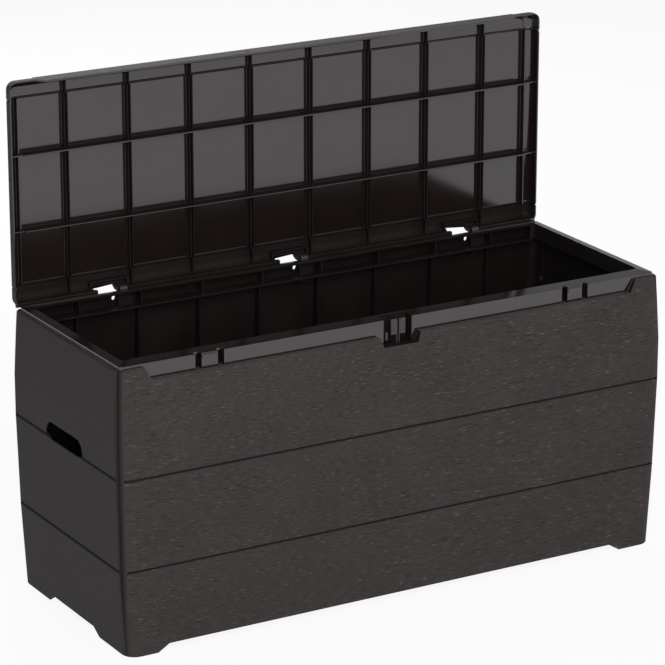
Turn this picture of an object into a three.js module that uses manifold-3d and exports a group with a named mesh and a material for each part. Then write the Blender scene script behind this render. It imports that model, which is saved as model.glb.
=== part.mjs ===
// Resin deck storage box with its lid standing open.
// Millimetres, +Z up, +X to the right of someone facing the front, front towards -Y.
// Walls are moulded panels with horizontal planks, joined at the corners by push-in rivets.
// The lid is one ribbed tray that turns on a round bar held by three clips on the back panel.

import * as THREE from 'three';
import { mergeVertices } from 'three/addons/utils/BufferGeometryUtils.js';
import Module from 'manifold-3d';

const wasm = await Module();
wasm.setup();

// ---------------------------------------------------------------- driving dimensions

// walls: size at the shoulder, and how far they stand out beyond it lower down, on each side
const shoulderHeight = 543.5;
const shoulderWidth = 1156;
const shoulderDepth = 423;
const upperGrooveHeight = 340;
const upperGrooveSwellX = 5;
const upperGrooveSwellY = 14;
const lowerGrooveHeight = 164.5;
const lowerGrooveSwellX = 2;
const lowerGrooveSwellY = 10;
const bottomSwellX = -6;
const bottomSwellY = 9.5;
const bellyDrop = 45;            // where the top plank starts to lean in, below the shoulder
const bellyLeanX = 3;            // how far it stands out there, beyond the shoulder
const bellyLeanY = 8;
const plankGrooveDepth = 3.5;
const plankGrooveHalf = 3.5;
const shoulderRound = 3;
const wallCornerRadius = 22;
const bottomCornerRadius = 26;
const floorCornerRadius = 30;
const shoulderCornerRadius = 12;
const skin = 3.5;                // wall thickness of every panel
const fitGap = 0.3;              // clearance between pieces that touch

// rim standing inside the shoulder, its top rising a little towards the mouth
const rimStep = 5;
const rimRise = 2.5;
const rimInsetSide = 7.5;
const rimInsetFront = 7;
const rimInsetBack = 8;
const rimWidthSide = 17.5;
const rimWidthFront = 28;
const rimWidthBack = 17.5;
const rimCornerRadius = 5;
const mouthCornerRadius = 7;
const lipDrop = 24.5;            // how far the inner lip hangs below the shoulder

// corner joints
const returnDepth = 5;           // how far the front and back panels wrap round the corner
const postInset = 0.05;          // how far the grooveless part of each corner stays inside the planks' face
const postLead = 6;              // how far the grooves stop before the middle of each rounded corner
const tongueReach = 24;
const tongueRoot = 7.5;
const rivetSetback = 17;         // from the end of the wrap to each row of rivets
const rivetHeights = [90, 255, 430];
const rivetHeadRadius = 6;
const rivetHeadHeight = 2.4;
const rivetShankRadius = 2.5;
const rivetBite = 2.4;

// feet and floor
const footGapHeight = 14;
const leftFootLength = 61;       // from each corner to the start of the gap between two feet
const rightFootLength = 76;
const sideFootLength = 117;
const rimClearance = 0.8;        // from the closed lid's side skirts to the rim
const gapSlope = 23;
const floorHeight = 24;
const floorThickness = 4;
const floorRibDepth = 9;
const floorRibThickness = 3;
const floorRibPitch = 210;
const floorRibStep = 1;          // how much shallower the long ribs are
const floorClearance = 1.5;
const ledgeWidth = 12;

// hand holes in the end panels, standing on the upper groove
const handHoleCentre = 2;
const handHoleHalf = 75;
const handHoleTall = 29;
const handHoleLift = 1;
const handHoleSag = 4.5;         // how far the middle of the bottom edge hangs lower than its ends
const handHoleSagInset = 22;
const handHoleRoundReach = 23;   // how far along and down each rounded upper corner goes
const handHoleRoundDrop = 25;
const handHoleRoundSteps = 5;

// smooth strip along the front, sunk behind the grained plank
const stripEndInset = 53;        // from the shoulder's end to the strip's upper corner
const stripEndSlope = 14;
const stripDrop = 24.5;          // below the shoulder

// catch stations on the strip: a springy tongue between two slots that are open at the top
const catchEndInset = 187.5;     // from the shoulder's end to the middle of the station
const slotOuterHalf = 29;
const slotDepth = 9;
const slotHollowDepth = 22;      // how far the hollow behind the tongue and its slots goes back
const tongueHalf = 16.5;
const tongueThickness = 4;
const catchBumpDrop = 4;         // from the rim's top to the ridge of the bump
const catchBumpHeight = 7;
const catchBumpDepth = 1.6;

// lock bay in the middle of the strip
const bayHalf = 30;
const bayDrop = 43;              // below the shoulder
const bayDepth = 22;
const bayFrameHalf = 43;
const bayFrameFootHalf = 36.5;
const lugGapHalf = 1.75;
const lugThickness = 1.8;
const lugReach = 2;              // how far the lugs stand out before the strip
const lugPadWidth = 13.5;
const lugPadDrop = 30;
const guideOffset = 23.5;
const guideWidth = 5;
const guideLow = 8;              // above the bay's floor
const guideHeight = 15;
const receiverPlate = 3;
const receiverInset = 3;
const receiverScrewOffset = 22;
const receiverScrewDrop = 10;

// back panel: ledge and webs below the rim
const backLedgeDepth = 27;
const backLedgeThickness = 3.5;
const backRibPitch = 130;
const backRibCount = 8;
const backRibDepth = 8;
const backRibThickness = 3;
const webThickness = 3;
const peepHoleHalfWidth = 3.7;
const peepHoleHalfHeight = 5.2;
const peepHoleSegments = 20;
const peepHoleOffset = 17;       // from the hinge station to the hole
const peepHoleDrop = 9.5;        // below the shoulder

// hinge stations, clips and bar
const hingeEndInset = 187;       // from the shoulder's end to the outer stations
const barSegments = 20;
const barSetback = 4;            // from the bar's centre to the lid's rear face and to its rim plane
const barRadius = 3.7;
const barBehindShoulder = 2.5;   // from the back shoulder edge to the bar's centre
const clipOffset = 38.75;        // from the station to the clip's middle
const clipWidth = 15;
const clipWall = 3;
const clipLegWidth = 24;
const clipLegThickness = 3.5;
const clipLegDrop = 37;          // below the shoulder
const clipMouthHalf = 3;
const clipScrewOffset = 7;
const screwHeadRadius = 3.6;
const screwHeadHeight = 1.8;
const screwShankRadius = 1.8;
const screwLength = 7;
const headSegments = 12;
const shankSegments = 8;

// lid, measured closed
const lidSideInset = 2.5;        // how far each side of the lid stays inside the shoulder's edge
const lidDepth = 31;
const lidSkin = 3;
const lidEdgeRound = 20;
const lidEdgeSegments = 5;
const lidPlanRadius = 16;
const lidCornerBlend = 0.6;      // how much of the edge round the plan corner gives up
const lidGrooveOffset = 178.5;   // from the lid's middle line to each groove
const lidGrooveDepth = 2.4;
const lidGrooveHalf = 2.4;
const lidRibPitch = 130;
const lidRibCount = 8;
const lidRibHeight = 11.5;
const lidRibThickness = 2.4;
const lidPairHalf = 4.1;         // half the distance across a pair of ribs
const borderRibHeight = 12;
const sideRibHeight = 12;
const tallRibOffset = 72.5;
const tallRibHeight = 24;
const tallRibEndHeight = 19;
const tallRibThickness = 3;
const tallRibRimClearance = 5.5; // from the end of the tall part of these ribs to the rim's mouth
const frontSkirtDrop = 15;
const frontSkirtThickness = 4;
const skirtEndClearance = 4;     // from each end of the deep front skirt to the strip's sloped end
const beadDepth = 8.5;           // thickness of the bead along the rear rim
const hingeWindowLeft = 14;      // from the station to each end of the window in the lid
const hingeWindowRight = 27.5;
const hingeCheek = 3;            // wall between the window and the pocket that holds the bar
const hingePocketRight = 47;     // from the station to the far end of the pocket
const hingePocketHeight = 12;    // how far the pocket rises above the bar, under the lid's top
const barEnd = 1;                // how far the bar goes into the wall at each end of the pocket
const hingeWindowReach = 9.7;    // from the rear face into the lid's top
const windowFrameHeight = 12;
const windowFrameThickness = 3;
const windowFrameSetback = 9;
const openAngle = 90;

// ---------------------------------------------------------------- solids from three.js shapes

function solid(geometry) {
  const bare = geometry.clone();
  bare.deleteAttribute('normal');
  bare.deleteAttribute('uv');
  const merged = mergeVertices(bare, 1e-4);
  const mesh = new wasm.Mesh({
    numProp: 3,
    vertProperties: new Float32Array(merged.attributes.position.array),
    triVerts: new Uint32Array(merged.index.array),
  });
  return new wasm.Manifold(mesh);
}

function geometryOf(manifold) {
  const mesh = manifold.getMesh();
  const geometry = new THREE.BufferGeometry();
  geometry.setAttribute('position', new THREE.BufferAttribute(new Float32Array(mesh.vertProperties), 3));
  geometry.setIndex(new THREE.BufferAttribute(new Uint32Array(mesh.triVerts), 1));
  geometry.computeVertexNormals();
  return geometry;
}

function box(x0, x1, y0, y1, z0, z1) {
  const geometry = new THREE.BoxGeometry(x1 - x0, y1 - y0, z1 - z0);
  geometry.translate((x0 + x1) / 2, (y0 + y1) / 2, (z0 + z1) / 2);
  return solid(geometry);
}

function joined(pieces) {
  return pieces.reduce((sum, piece) => sum.add(piece));
}

function without(body, cuts) {
  return cuts.reduce((rest, cut) => rest.subtract(cut), body);
}

function outlineShape(points) {
  return new THREE.Shape(points.map(([a, b]) => new THREE.Vector2(a, b)));
}

// prism along Z from an outline in X and Y
function prismZ(points, z0, z1) {
  const geometry = new THREE.ExtrudeGeometry(outlineShape(points), { depth: z1 - z0, bevelEnabled: false });
  geometry.translate(0, 0, z0);
  return solid(geometry);
}

// prism along X from an outline in Y and Z
function prismX(points, x0, x1) {
  const geometry = new THREE.ExtrudeGeometry(outlineShape(points), { depth: x1 - x0, bevelEnabled: false });
  geometry.rotateX(Math.PI / 2);
  geometry.rotateZ(Math.PI / 2);
  geometry.translate(x0, 0, 0);
  return solid(geometry);
}

// prism along Y from an outline in X and Z
function prismY(points, y0, y1) {
  const geometry = new THREE.ExtrudeGeometry(outlineShape(points), { depth: y1 - y0, bevelEnabled: false });
  geometry.rotateX(Math.PI / 2);
  geometry.translate(0, y1, 0);
  return solid(geometry);
}

function cylinder(radius, from, to, segments = 20) {
  const start = new THREE.Vector3(...from);
  const end = new THREE.Vector3(...to);
  const direction = end.clone().sub(start);
  const geometry = new THREE.CylinderGeometry(radius, radius, direction.length(), segments);
  const up = new THREE.Vector3(0, 1, 0);
  const turn = new THREE.Quaternion().setFromUnitVectors(up, direction.clone().normalize());
  geometry.applyQuaternion(turn);
  geometry.translate(...start.add(end).multiplyScalar(0.5).toArray());
  return solid(geometry);
}

// rounded rectangle in X and Y as a ring of points, the same count whatever its size
function ring({ x0, x1, y0, y1, r }, segments = 5) {
  const corners = [[x1 - r, y1 - r, 0], [x0 + r, y1 - r, 90], [x0 + r, y0 + r, 180], [x1 - r, y0 + r, 270]];
  const points = [];
  for (const [cx, cy, start] of corners) {
    for (let step = 0; step <= segments; step += 1) {
      const angle = THREE.MathUtils.degToRad(start + (90 * step) / segments);
      points.push([cx + r * Math.cos(angle), cy + r * Math.sin(angle)]);
    }
  }
  return points;
}

// closed solid through a stack of rings, each at its own height
function loft(levels) {
  const rings = levels.map((level) => ring(level));
  const count = rings[0].length;
  const positions = [];
  const indices = [];
  levels.forEach((level, layer) => rings[layer].forEach(([x, y]) => positions.push(x, y, level.z)));
  for (let layer = 0; layer < levels.length - 1; layer += 1) {
    for (let i = 0; i < count; i += 1) {
      const a = layer * count + i;
      const b = layer * count + ((i + 1) % count);
      indices.push(a, b, b + count, a, b + count, a + count);
    }
  }
  const top = (levels.length - 1) * count;
  for (let i = 1; i < count - 1; i += 1) {
    indices.push(0, i + 1, i);
    indices.push(top, top + i, top + i + 1);
  }
  const geometry = new THREE.BufferGeometry();
  geometry.setAttribute('position', new THREE.Float32BufferAttribute(positions, 3));
  geometry.setIndex(indices);
  return solid(geometry);
}

function inset(level, amount) {
  return {
    z: level.z,
    x0: level.x0 + amount,
    x1: level.x1 - amount,
    y0: level.y0 + amount,
    y1: level.y1 - amount,
    r: Math.max(level.r - amount, 0.5),
  };
}

function centredLevel(z, width, depth, r) {
  return { z, x0: -width / 2, x1: width / 2, y0: -depth / 2, y1: depth / 2, r };
}

// ---------------------------------------------------------------- shared places

const shoulderHalfWidth = shoulderWidth / 2;
const shoulderHalfDepth = shoulderDepth / 2;
const upperGrooveWidth = shoulderWidth + 2 * upperGrooveSwellX;
const upperGrooveDepth = shoulderDepth + 2 * upperGrooveSwellY;
const lowerGrooveWidth = shoulderWidth + 2 * lowerGrooveSwellX;
const lowerGrooveDepth = shoulderDepth + 2 * lowerGrooveSwellY;
const bottomWidth = shoulderWidth + 2 * bottomSwellX;
const bottomDepth = shoulderDepth + 2 * bottomSwellY;
const catchPitch = shoulderHalfWidth - catchEndInset;
const hingePitch = shoulderHalfWidth - hingeEndInset;
const stripTopHalf = shoulderHalfWidth - stripEndInset;
const stripBottomHalf = stripTopHalf - stripEndSlope;
const rimTop = shoulderHeight + rimStep;
const rimFrontFace = -shoulderHalfDepth + rimInsetFront;
const rimBackFace = shoulderHalfDepth - rimInsetBack;
const rimSideFace = shoulderHalfWidth - rimInsetSide;
const mouth = {
  x0: -rimSideFace + rimWidthSide,
  x1: rimSideFace - rimWidthSide,
  y0: rimFrontFace + rimWidthFront,
  y1: rimBackFace - rimWidthBack,
  r: mouthCornerRadius,
};
const lipBottom = shoulderHeight - lipDrop;
const stripBottom = shoulderHeight - stripDrop;
const bayBottom = shoulderHeight - bayDrop;
const barY = shoulderHalfDepth + barBehindShoulder;
const barZ = shoulderHeight + fitGap + barSetback;
const stations = [-1, 0, 1];
const far = shoulderWidth;       // beyond every piece, for cutting blocks

// heights and sizes of the walls' outside, bottom to top, with the two grooves between planks
function wallLevels() {
  const r = wallCornerRadius;
  const levels = [centredLevel(0, bottomWidth, bottomDepth, bottomCornerRadius)];
  const grooves = [
    [lowerGrooveHeight, lowerGrooveWidth, lowerGrooveDepth],
    [upperGrooveHeight, upperGrooveWidth, upperGrooveDepth],
  ];
  for (const [height, width, depth] of grooves) {
    levels.push(centredLevel(height - plankGrooveHalf, width, depth, r));
    levels.push(centredLevel(height, width - 2 * plankGrooveDepth, depth - 2 * plankGrooveDepth, r));
    levels.push(centredLevel(height + plankGrooveHalf, width, depth, r));
  }
  const bellyHeight = shoulderHeight - bellyDrop;
  const bellyMiddle = (bellyHeight + upperGrooveHeight) / 2;
  levels.push(centredLevel(bellyMiddle, upperGrooveWidth, upperGrooveDepth, r));
  levels.push(centredLevel(bellyHeight, shoulderWidth + 2 * bellyLeanX, shoulderDepth + 2 * bellyLeanY, r));
  const top = shoulderCornerRadius;
  levels.push(centredLevel(shoulderHeight - shoulderRound, shoulderWidth, shoulderDepth, top));
  const rounded = 2 * shoulderRound;
  const flat = { width: shoulderWidth - rounded, depth: shoulderDepth - rounded };
  levels.push(centredLevel(shoulderHeight, flat.width, flat.depth, top - shoulderRound));
  return levels;
}

// a skin of the walls between two insets, from z0 up to z1
function wallSkin(outerInset, innerInset, z0, z1, levels = wallLevels()) {
  const outer = loft(levels.map((level) => inset(level, outerInset)));
  const innerLevels = levels.map((level) => inset(level, innerInset));
  innerLevels[0].z = -10;
  innerLevels[innerLevels.length - 1].z = shoulderHeight + 10;
  const slab = box(-far, far, -far, far, z0, z1);
  return outer.subtract(loft(innerLevels)).intersect(slab);
}

// what fills the grooves on the side half of each rounded corner and on the return beside it
function cornerPosts() {
  const grooves = [lowerGrooveHeight, upperGrooveHeight];
  const plainLevels = wallLevels().filter((level) => !grooves.includes(level.z));
  const tall = plankGrooveHalf + 1;
  const bands = grooves.map((z) => wallSkin(postInset, skin - 1, z - tall, z + tall, plainLevels));
  const diagonal = (upperGrooveWidth - upperGrooveDepth) / 2 - postLead;
  const sector = prismZ([
    [diagonal + partingHalf, partingHalf], [diagonal + far, partingHalf], [diagonal + far, far],
  ], 0, shoulderHeight);
  const rightSectors = sector.add(sector.mirror([0, 1, 0]));
  return joined(bands).intersect(rightSectors.add(rightSectors.mirror([1, 0, 0])));
}

const rimOuter = {
  x0: -rimSideFace,
  x1: rimSideFace,
  y0: rimFrontFace,
  y1: rimBackFace,
  r: rimCornerRadius,
};

// the whole hollow body before it is parted into panels: walls, shoulder, rim and inner lip
function bodyShell() {
  const walls = loft(wallLevels());
  const rim = loft([
    { ...rimOuter, z: shoulderHeight - shoulderRound },
    { ...rimOuter, z: rimTop },
    { ...mouth, z: rimTop + rimRise },
  ]);
  const cavityLevels = wallLevels().map((level) => inset(level, skin));
  cavityLevels[0].z = -10;
  cavityLevels.pop();
  cavityLevels[cavityLevels.length - 1].z = shoulderHeight - skin;
  const underRim = inset({ ...rimOuter, z: 0 }, skin);
  const rimHollow = loft([
    { ...underRim, z: shoulderHeight - 2 * skin },
    { ...underRim, z: rimTop - skin },
    { ...mouth, z: rimTop + rimRise - skin },
  ]);
  const mouthCut = loft([{ ...mouth, z: lipBottom - 10 }, { ...mouth, z: rimTop + 10 }]);
  const lipOutside = inset({ ...mouth, z: 0 }, -skin);
  const lip = loft([{ ...lipOutside, z: lipBottom }, { ...lipOutside, z: rimTop }]);
  const hollowed = without(walls.add(rim), [loft(cavityLevels), rimHollow]);
  return hollowed.add(lip).subtract(mouthCut);
}

// solid out to the middle of the walls' and the rim's skin, which trims whatever is moulded on inside
function bodyCore() {
  const middle = skin / 2;
  const levels = wallLevels().map((level) => inset(level, middle));
  levels[levels.length - 1].z -= middle;
  const rimMiddle = inset({ ...rimOuter, z: 0 }, middle);
  const rim = loft([
    { ...rimMiddle, z: lipBottom },
    { ...rimMiddle, z: rimTop - middle },
    { ...mouth, z: rimTop + rimRise - middle },
  ]);
  return loft(levels).add(rim);
}

// parting planes of the four panels, measured on the side faces
const partingHalf = shoulderHalfDepth - returnDepth;
const rimPartingHalf = mouth.x1 - mouth.r;
const shell = bodyShell().add(cornerPosts());
const core = bodyCore();

// slab of space between two depths on the front (-1) or back (1) side
function depthSlab(side, near, distant, x0 = -far, x1 = far) {
  const y = [side * near, side * distant].sort((a, b) => a - b);
  return box(x0, x1, y[0], y[1], -far, far);
}

function frontOrBack(side) {
  const rimRegion = depthSlab(side, 0, far, -rimPartingHalf, rimPartingHalf);
  const region = depthSlab(side, partingHalf, far).add(rimRegion);
  const tongueInset = skin + fitGap;
  const tongueEnd = partingHalf - tongueReach;
  const tongueLow = floorHeight + floorThickness + fitGap;
  const tongueTop = lipBottom - fitGap;
  const tongue = wallSkin(tongueInset, tongueInset + skin, tongueLow, tongueTop)
    .intersect(depthSlab(side, tongueEnd, partingHalf + tongueRoot));
  const root = wallSkin(skin / 2, tongueInset + skin / 2, tongueLow + fitGap, tongueTop - fitGap)
    .intersect(depthSlab(side, partingHalf, partingHalf + tongueRoot));
  const middle = box(-rimPartingHalf, rimPartingHalf, -far, far, -far, far);
  return shell.intersect(region).add(tongue.add(root).subtract(middle));
}

function floorLedge(region) {
  const ledgeTop = floorHeight - fitGap;
  const bar = wallSkin(skin / 2, skin + ledgeWidth, ledgeTop - skin, ledgeTop);
  return bar.intersect(region);
}

// the rivets of each corner stand in a row, one above another
function rivetPlaces(sideX, sideY) {
  return rivetHeights.map((z) => {
    const wall = wallHalfWidthAt(z) - skin;
    const y = sideY * (partingHalf - rivetSetback);
    return { z, y, wall, sideX };
  });
}

function wallHalfWidthAt(z) {
  const levels = wallLevels();
  const above = levels.findIndex((level) => level.z >= z);
  const low = levels[above - 1];
  const high = levels[above];
  return THREE.MathUtils.mapLinear(z, low.z, high.z, low.x1, high.x1);
}

function rivet({ z, y, wall, sideX }, grow = 0) {
  const seat = wall - fitGap - skin;
  const tip = sideX * (wall + rivetBite + grow);
  return cylinder(rivetShankRadius + grow, [sideX * (seat - 1), y, z], [tip, y, z], shankSegments);
}

function rivetBody(place) {
  const seat = place.wall - fitGap - skin - fitGap;
  const head = cylinder(
    rivetHeadRadius,
    [place.sideX * (seat - rivetHeadHeight), place.y, place.z],
    [place.sideX * seat, place.y, place.z],
    headSegments,
  );
  return head.add(rivet(place));
}

// gap between the feet under a front, back or end panel
function footGap(start, end) {
  return [
    [start, -1], [end, -1], [end, 0],
    [end - gapSlope, footGapHeight], [start + gapSlope, footGapHeight], [start, 0],
  ];
}

function longFootGap() {
  return footGap(leftFootLength - bottomWidth / 2, bottomWidth / 2 - rightFootLength);
}

function sideFootGap() {
  return footGap(sideFootLength - bottomDepth / 2, bottomDepth / 2 - sideFootLength);
}

// ---------------------------------------------------------------- front panel

function frontPanel() {
  const housingBack = rimFrontFace + skin;
  const bayBack = rimFrontFace + bayDepth;
  const housings = [
    box(-stripTopHalf - skin, stripTopHalf + skin, -far, housingBack, stripBottom - skin, far),
    box(-bayFrameHalf - skin, bayFrameHalf + skin, -far, housingBack, bayBottom - skin, stripBottom),
    box(-bayHalf - skin, bayHalf + skin, -far, bayBack + skin, bayBottom - 2 * skin, far),
  ];
  const slots = [];
  for (const side of [-1, 1]) {
    const centre = side * catchPitch;
    const outer = slotOuterHalf;
    const slotBack = rimFrontFace + slotDepth;
    const hollowBack = rimFrontFace + slotHollowDepth;
    housings.push(box(centre - outer - skin, centre + outer + skin, -far, hollowBack + skin,
      stripBottom - 2 * skin, far));
    const behindTongue = box(centre - outer, centre + outer, rimFrontFace + tongueThickness, hollowBack,
      stripBottom + skin, rimTop - skin);
    slots.push(box(centre - outer, centre - tongueHalf, -far, slotBack, stripBottom, far));
    slots.push(box(centre + tongueHalf, centre + outer, -far, slotBack, stripBottom, far), behindTongue);
  }
  const strip = prismY([
    [-bayFrameFootHalf, bayBottom], [bayFrameFootHalf, bayBottom],
    [bayFrameHalf, stripBottom], [stripBottomHalf, stripBottom],
    [stripTopHalf, shoulderHeight], [stripTopHalf + rimStep, far],
    [-stripTopHalf - rimStep, far], [-stripTopHalf, shoulderHeight],
    [-stripBottomHalf, stripBottom], [-bayFrameHalf, stripBottom],
  ], -far, rimFrontFace);
  const bay = box(-bayHalf, bayHalf, -far, bayBack, bayBottom, far);
  const bumps = [-1, 1].map((side) => catchBump(side * catchPitch));
  const ledgeHalf = bottomWidth / 2 - 3 * skin;
  const ledgeSpan = box(-ledgeHalf, ledgeHalf, -far, -partingHalf, -far, far);
  let panel = frontOrBack(-1).add(floorLedge(ledgeSpan));
  panel = panel.add(joined(housings).intersect(core));
  const cuts = [strip, bay, ...slots, prismY(longFootGap(), -far, 0)];
  for (const sideX of [-1, 1]) {
    cuts.push(...rivetPlaces(sideX, -1).map((place) => rivet(place, fitGap)));
  }
  return without(panel, cuts).add(joined(bumps));
}

// the ridge on a springy tongue, ramped above and stepped below
function catchBump(centre) {
  const ridge = rimTop - catchBumpDrop;
  return prismX([
    [rimFrontFace + 1, rimTop - 1], [rimFrontFace, rimTop - 1],
    [rimFrontFace - catchBumpDepth, ridge],
    [rimFrontFace - catchBumpDepth, ridge - catchBumpHeight / 2],
    [rimFrontFace, ridge - catchBumpHeight], [rimFrontFace + 1, ridge - catchBumpHeight],
  ], centre - tongueHalf + 1, centre + tongueHalf - 1);
}

// ---------------------------------------------------------------- back panel

const ledgeEdgeY = shoulderHalfDepth - skin - backLedgeDepth;

function backRibPlaces() {
  return Array.from({ length: backRibCount }, (_, i) => (i - (backRibCount - 1) / 2) * backRibPitch);
}

// outline in X and Z of the oval peep hole round its centre
function ovalOutline(x, z) {
  return Array.from({ length: peepHoleSegments }, (_, i) => {
    const angle = (2 * Math.PI * i) / peepHoleSegments;
    return [x + peepHoleHalfWidth * Math.cos(angle), z + peepHoleHalfHeight * Math.sin(angle)];
  });
}

function backPanel() {
  const lipCut = box(mouth.x0 - far, mouth.x1 + far, mouth.y1 - skin, mouth.y1 + skin + 1,
    lipBottom - 1, rimTop - skin);
  const additions = [
    box(mouth.x0 + skin, mouth.x1 - skin, ledgeEdgeY, far, lipBottom - backLedgeThickness, lipBottom),
  ];
  const ribLow = floorHeight - skin;
  for (const x of backRibPlaces()) {
    const t = backRibThickness / 2;
    additions.push(box(x - t, x + t, shoulderHalfDepth - skin - backRibDepth, far, ribLow, lipBottom - 1));
    additions.push(box(x - t, x + t, mouth.y1 + 1, far, lipBottom - 1, far));
  }
  const legBack = clipPocketFloor();
  for (const station of stations) {
    const s = station * hingePitch;
    const half = clipLegWidth / 2 + fitGap + webThickness;
    const boss = box(s + clipOffset - half, s + clipOffset + half, legBack - screwLength - 1, far,
      shoulderHeight - clipLegDrop - skin, far);
    additions.push(boss);
  }
  const ledgeHalf = bottomWidth / 2 - 3 * skin;
  const ledgeSpan = box(-ledgeHalf, ledgeHalf, partingHalf, far, -far, far);
  let panel = frontOrBack(1).subtract(lipCut).add(floorLedge(ledgeSpan));
  panel = panel.add(joined(additions).intersect(core));
  const cuts = [prismY(longFootGap(), 0, far)];
  for (const station of stations) {
    const s = station * hingePitch;
    const holeZ = shoulderHeight - peepHoleDrop;
    const holeX = s + peepHoleOffset;
    cuts.push(prismY(ovalOutline(holeX, holeZ), mouth.y1 + skin, far));
    const leg = clipLegWidth / 2 + fitGap;
    cuts.push(box(s + clipOffset - leg, s + clipOffset + leg, legBack, far,
      shoulderHeight - clipLegDrop - fitGap, far));
    const hook = clipWidth / 2 + fitGap;
    const hookRadius = barRadius + fitGap + clipWall;
    cuts.push(box(s + clipOffset - hook, s + clipOffset + hook, barY - hookRadius - fitGap, far,
      barZ - hookRadius - fitGap, far));
    cuts.push(...clipScrewPlaces(s).map((place) => screwHole(place)));
  }
  for (const sideX of [-1, 1]) {
    cuts.push(...rivetPlaces(sideX, 1).map((place) => rivet(place, fitGap)));
  }
  return without(panel, cuts);
}

// ---------------------------------------------------------------- end panels

// outline in Y and Z of the hand hole: a sagging bottom edge and rounded upper corners
function handHoleOutline() {
  const bottom = upperGrooveHeight + handHoleLift;
  const straight = handHoleHalf - handHoleRoundReach;
  const shoulder = bottom + handHoleTall - handHoleRoundDrop;
  const right = Array.from({ length: handHoleRoundSteps + 1 }, (_, step) => {
    const angle = (Math.PI * step) / (2 * handHoleRoundSteps);
    return [straight + handHoleRoundReach * Math.cos(angle), shoulder + handHoleRoundDrop * Math.sin(angle)];
  });
  const left = right.map(([y, z]) => [-y, z]).reverse();
  const sagHalf = handHoleHalf - handHoleSagInset;
  const foot = [
    [-handHoleHalf, bottom], [-sagHalf, bottom - handHoleSag],
    [sagHalf, bottom - handHoleSag], [handHoleHalf, bottom],
  ];
  return [...foot, ...right, ...left].map(([y, z]) => [handHoleCentre + y, z]);
}

function endPanel(sideX) {
  const x = [0, sideX * far].sort((a, b) => a - b);
  const span = box(x[0], x[1], -partingHalf + fitGap, partingHalf - fitGap, -far, far);
  const middleHalf = rimPartingHalf + fitGap;
  const middle = box(-middleHalf, middleHalf, -far, far, -far, far);
  const trimmed = shell.intersect(span).subtract(middle);
  const ledgeHalf = partingHalf - tongueReach - fitGap;
  const ledgeRegion = box(x[0], x[1], -ledgeHalf, ledgeHalf, -far, far);
  const cuts = [prismX(handHoleOutline(), x[0], x[1]), prismX(sideFootGap(), x[0], x[1])];
  for (const sideY of [-1, 1]) {
    cuts.push(...rivetPlaces(sideX, sideY).map((place) => rivet(place, fitGap)));
  }
  return without(trimmed.add(floorLedge(ledgeRegion)), cuts);
}

// ---------------------------------------------------------------- floor

function floorPanel() {
  const at = wallHalfSizesAtFloor();
  const halfX = at.x - skin - floorClearance;
  const halfY = at.y - skin - floorClearance;
  const plan = ring({ x0: -halfX, x1: halfX, y0: -halfY, y1: halfY, r: floorCornerRadius });
  const plate = prismZ(plan, floorHeight, floorHeight + floorThickness);
  const pieces = [without(plate, floorNotches(at))];
  const ribInset = ledgeWidth + 4;
  const ribTop = floorHeight + floorThickness / 2;
  const ribBottom = floorHeight - floorRibDepth;
  const t = floorRibThickness / 2;
  const count = 2 * Math.floor((halfX - ribInset) / floorRibPitch) + 1;
  for (let i = 0; i < count; i += 1) {
    const x = (i - (count - 1) / 2) * floorRibPitch;
    pieces.push(box(x - t, x + t, -halfY + ribInset, halfY - ribInset, ribBottom, ribTop));
  }
  for (const y of [-floorRibPitch / 2, floorRibPitch / 2]) {
    pieces.push(box(-halfX + ribInset, halfX - ribInset, y - t, y + t, ribBottom + floorRibStep, ribTop));
  }
  return joined(pieces);
}

// room at the floor's edge for the back panel's ribs and for the tongues in the four corners
function floorNotches(at) {
  const ribReach = shoulderHalfDepth - skin - backRibDepth - fitGap;
  const ribHalf = backRibThickness / 2 + fitGap;
  const notches = backRibPlaces().map((x) => box(x - ribHalf, x + ribHalf, ribReach, far, -far, far));
  const tongueDepth = 2 * (skin + fitGap);
  const tongueEnd = partingHalf - tongueReach - fitGap;
  for (const sideX of [-1, 1]) {
    for (const sideY of [-1, 1]) {
      notches.push(cornerBlock(sideX, sideY, at.x - tongueDepth, tongueEnd));
      notches.push(cornerBlock(sideX, sideY, rimPartingHalf - fitGap, at.y - tongueDepth));
    }
  }
  return notches;
}

// block of space outwards from a point near one of the four corners
function cornerBlock(sideX, sideY, x, y) {
  const xs = [sideX * x, sideX * far].sort((a, b) => a - b);
  const ys = [sideY * y, sideY * far].sort((a, b) => a - b);
  return box(xs[0], xs[1], ys[0], ys[1], -far, far);
}

function wallHalfSizesAtFloor() {
  const levels = wallLevels();
  return {
    x: THREE.MathUtils.mapLinear(floorHeight, levels[0].z, levels[1].z, levels[0].x1, levels[1].x1),
    y: THREE.MathUtils.mapLinear(floorHeight, levels[0].z, levels[1].z, levels[0].y1, levels[1].y1),
  };
}

// ---------------------------------------------------------------- hinge clips and screws

function clipPocketFloor() {
  return shoulderHalfDepth - clipLegThickness - fitGap;
}

function clipScrewPlaces(s) {
  const z = shoulderHeight - clipLegDrop + clipScrewOffset;
  return [-1, 1].map((side) => ({ x: s + clipOffset + side * clipScrewOffset, z }));
}

function screwHole({ x, z }) {
  const floorY = clipPocketFloor();
  return cylinder(screwShankRadius + fitGap, [x, floorY - screwLength, z], [x, far, z], shankSegments);
}

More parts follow.
